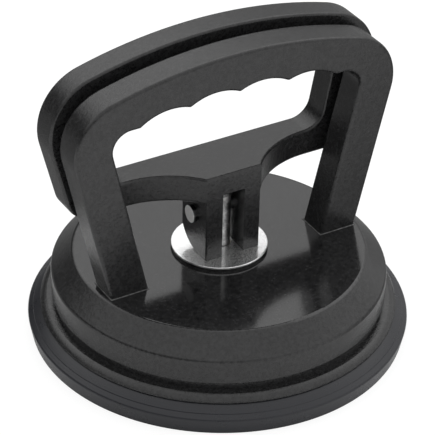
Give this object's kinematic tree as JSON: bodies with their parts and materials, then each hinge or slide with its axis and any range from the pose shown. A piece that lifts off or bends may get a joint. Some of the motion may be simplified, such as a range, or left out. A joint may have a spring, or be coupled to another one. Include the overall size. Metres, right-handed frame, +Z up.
{
  "type": "vacuum suction cup",
  "caption": "Hand-held vacuum suction lifter with a round rubber pad, a domed housing, a fixed handle and a closing lever that draws the vacuum.",
  "frame": {"origin": "centre of the pad on the surface it stands on", "axes": "+Z up along the pad's axis, X across the handles, the fixed handle towards -Y and the lever towards +Y"},
  "size_m": [0.1198, 0.1198, 0.103],
  "materials": {
    "powder_coat": "satin black powder coat with a fine grain",
    "rubber": "smooth moulded rubber, blue-grey",
    "polished_steel": "polished",
    "plated_steel": "turned and zinc plated",
    "spring_steel": "drawn wire, oiled",
    "nylon": "natural nylon"
  },
  "bodies": {
    "housing": {"housing": "powder_coat", "fixed_handle": "powder_coat", "handle_screws": "plated_steel", "handle_lock_washers": "spring_steel", "wear_washer": "polished_steel", "guide_bush": "nylon", "suction_pad": "rubber", "return_spring": "spring_steel"},
    "stud": {"pull_stud": "plated_steel", "pivot_pin": "plated_steel", "insert_plate": "plated_steel", "lock_nut": "plated_steel"},
    "lever": {"lever": "powder_coat"}
  },
  "joints": [
    {"name": "stud_slide", "type": "slide", "parent": "housing", "child": "stud", "axis": [0, 0, 1], "range_m": [-0.0045, 0], "deforming": ["return_spring", "suction_pad"]},
    {"name": "lever_swing", "type": "hinge", "parent": "stud", "child": "lever", "pos_m": [0, 0, 0.0427], "axis": [1, 0, 0], "range_deg": [-68, 0]}
  ],
  "couplings": [
    {"joint": "stud_slide", "follows": "lever_swing", "m_per_rad": 0.0037916}
  ]
}
